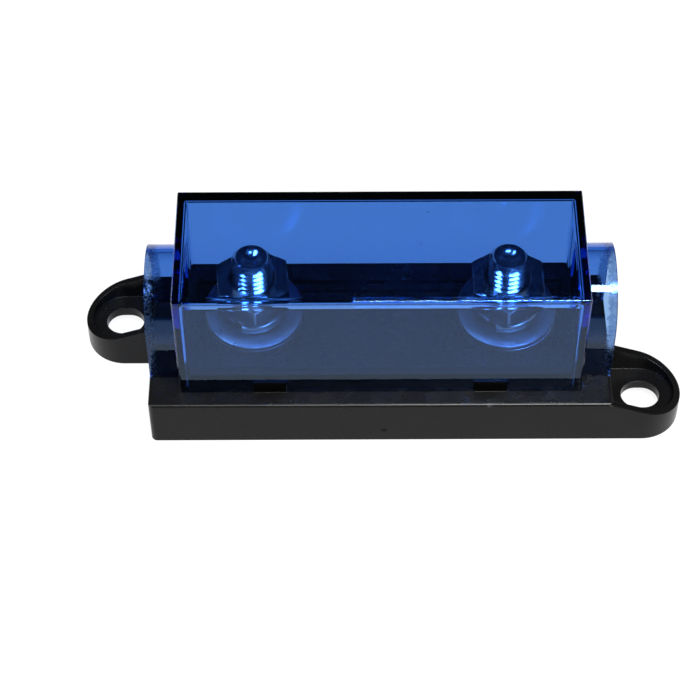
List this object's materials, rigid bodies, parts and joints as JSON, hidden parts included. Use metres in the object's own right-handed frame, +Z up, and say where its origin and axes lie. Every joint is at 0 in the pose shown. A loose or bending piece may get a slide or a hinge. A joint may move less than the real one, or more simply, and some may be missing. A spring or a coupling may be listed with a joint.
{
  "type": "fuse holder",
  "caption": "Bolt-down fuse holder: moulded base with two slotted fixing ears, two threaded studs with nuts and washers, and a clear lift-off cover with cable tunnels.",
  "frame": {"origin": "on the underside, at the middle of the holder", "axes": "+X along the holder towards the ear at the front right, +Y from the front to the back, +Z up out of the base"},
  "size_m": [0.1484, 0.0438, 0.0478],
  "materials": {
    "base_plastic": "black moulded plastic with a fine satin grain",
    "clear_blue_plastic": "clear blue gloss plastic, frosted at the tunnels' ends",
    "stud_steel": "bright rolled thread",
    "washer_steel": "satin plated steel",
    "spring_steel": "plated spring steel",
    "nut_steel": "bright turned steel"
  },
  "bodies": {
    "base": {"base": "base_plastic", "stud_left": "stud_steel", "stud_right": "stud_steel", "lower_washer_left": "washer_steel", "lower_washer_right": "washer_steel"},
    "cover": {"cover": "clear_blue_plastic"},
    "clamp_left": {"upper_washer_left": "washer_steel", "lock_washer_left": "spring_steel"},
    "nut_left": {"nut_left": "nut_steel"},
    "clamp_right": {"upper_washer_right": "washer_steel", "lock_washer_right": "spring_steel"},
    "nut_right": {"nut_right": "nut_steel"}
  },
  "joints": [
    {"name": "cover_lift", "type": "slide", "parent": "base", "child": "cover", "axis": [0, 0, 1], "range_m": [0, 0.045]},
    {"name": "clamp_rise_left", "type": "slide", "parent": "base", "child": "clamp_left", "axis": [0, 0, 1], "range_m": [0, 0.0072]},
    {"name": "nut_turn_left", "type": "hinge", "parent": "clamp_left", "child": "nut_left", "pos_m": [-0.03075, 0, 0.0326], "axis": [0, 0, 1], "range_deg": [0, 1728]},
    {"name": "clamp_rise_right", "type": "slide", "parent": "base", "child": "clamp_right", "axis": [0, 0, 1], "range_m": [0, 0.0072]},
    {"name": "nut_turn_right", "type": "hinge", "parent": "clamp_right", "child": "nut_right", "pos_m": [0.03075, 0, 0.0326], "axis": [0, 0, 1], "range_deg": [0, 1728]}
  ],
  "couplings": [
    {"joint": "clamp_rise_left", "follows": "nut_turn_left", "m_per_rad": 0.00023873},
    {"joint": "clamp_rise_right", "follows": "nut_turn_right", "m_per_rad": 0.00023873}
  ]
}
